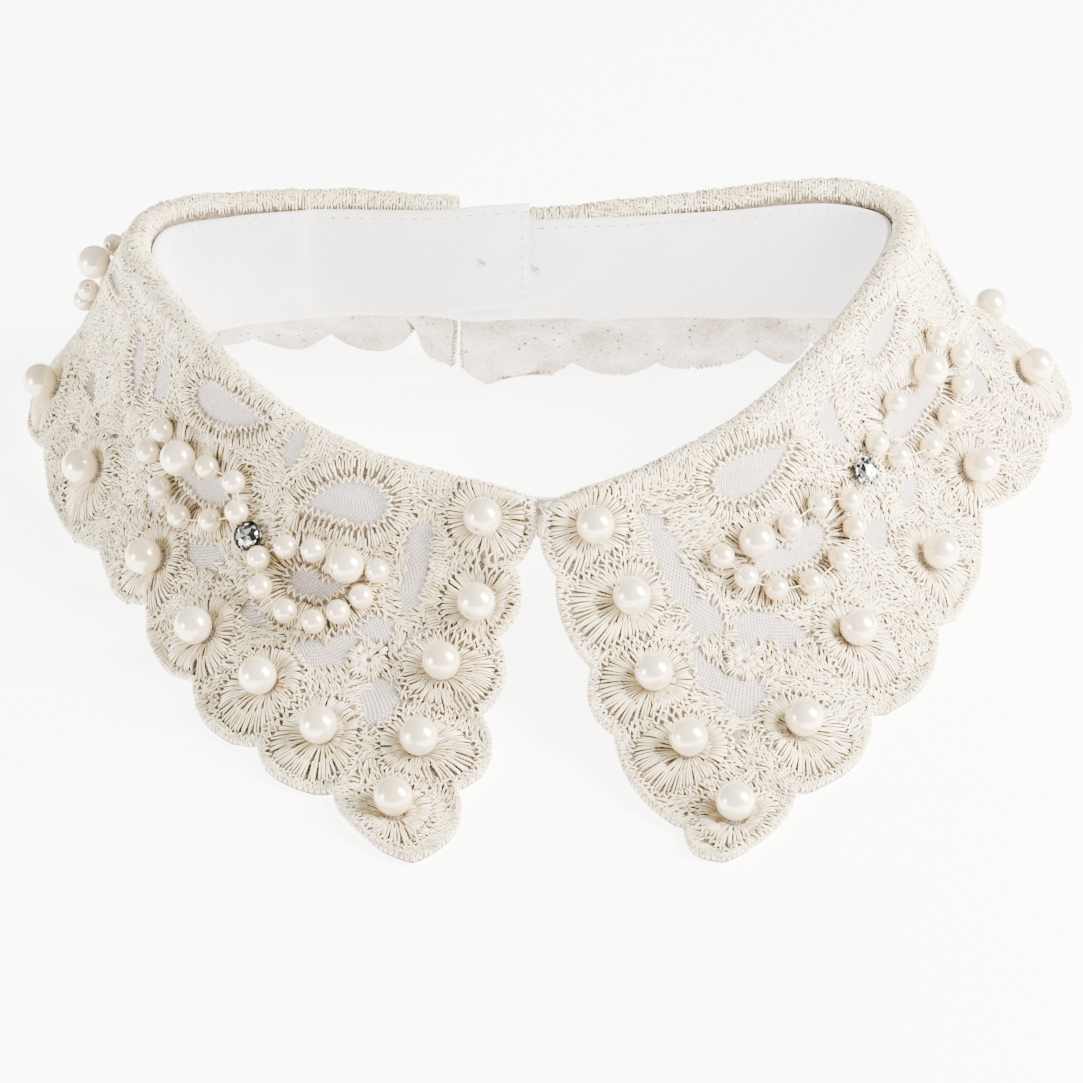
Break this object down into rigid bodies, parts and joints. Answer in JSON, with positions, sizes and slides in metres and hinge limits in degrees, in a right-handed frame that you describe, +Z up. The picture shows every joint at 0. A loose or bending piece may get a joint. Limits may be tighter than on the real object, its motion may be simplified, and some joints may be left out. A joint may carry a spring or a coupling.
{
  "type": "false collar",
  "caption": "Detachable false collar: two scalloped cream lace wings on a white neck band, sewn with pearls and bead bows, fastened into a ring",
  "frame": {"origin": "middle of the collar's bounding box at the plane that the scallops stand on", "axes": "+X towards the right wing as seen from the front, +Y from the front opening towards the back fastening, +Z up"},
  "size_m": [0.2424, 0.1962, 0.0646],
  "materials": {
    "lace": "cream cotton embroidery on white cotton, dense satin stitch, matte with a slight thread sheen",
    "cotton": "white plain-weave cotton, matte",
    "pearl": "cream pearlescent coating, smooth and glossy",
    "crystal": "clear faceted glass in a polished silver cup",
    "snap": "clear plastic"
  },
  "bodies": {
    "root": {"neck_band": "cotton", "wing_left": "lace", "wing_right": "lace", "pearl_left_f1": "pearl", "pearl_left_f2": "pearl", "pearl_left_f3": "pearl", "pearl_left_f4": "pearl", "pearl_left_tip": "pearl", "pearl_left_s1": "pearl", "pearl_left_s2": "pearl", "pearl_left_s3": "pearl", "pearl_left_s4": "pearl", "pearl_left_s5": "pearl", "pearl_left_s6": "pearl", "pearl_left_b1": "pearl", "pearl_left_b2": "pearl", "pearl_left_b3": "pearl", "pearl_left_b4": "pearl", "pearl_right_f1": "pearl", "pearl_right_f2": "pearl", "pearl_right_f3": "pearl", "pearl_right_f4": "pearl", "pearl_right_tip": "pearl", "pearl_right_s1": "pearl", "pearl_right_s2": "pearl", "pearl_right_s3": "pearl", "pearl_right_s4": "pearl", "pearl_right_s5": "pearl", "pearl_right_s6": "pearl", "pearl_right_b2": "pearl", "pearl_right_b3": "pearl", "pearl_right_b4": "pearl", "pearl_right_b5": "pearl", "pearl_right_b6": "pearl", "pearl_bow_left_side_1": "pearl", "pearl_bow_left_side_2": "pearl", "pearl_bow_left_back_1": "pearl", "pearl_bow_left_back_2": "pearl", "pearl_bow_right_side_1": "pearl", "pearl_bow_right_side_2": "pearl", "pearl_bow_right_back_1": "pearl", "pearl_bow_right_back_2": "pearl", "beads_left_side_1": "pearl", "beads_left_side_2": "pearl", "beads_left_back_1": "pearl", "beads_left_back_2": "pearl", "beads_right_side_1": "pearl", "beads_right_side_2": "pearl", "beads_right_back_1": "pearl", "beads_right_back_2": "pearl", "stone_left_side": "crystal", "stone_left_back": "crystal", "stone_right_side": "crystal", "stone_right_back": "crystal", "snap_socket": "snap", "snap_stud": "snap"}
  },
  "joints": []
}
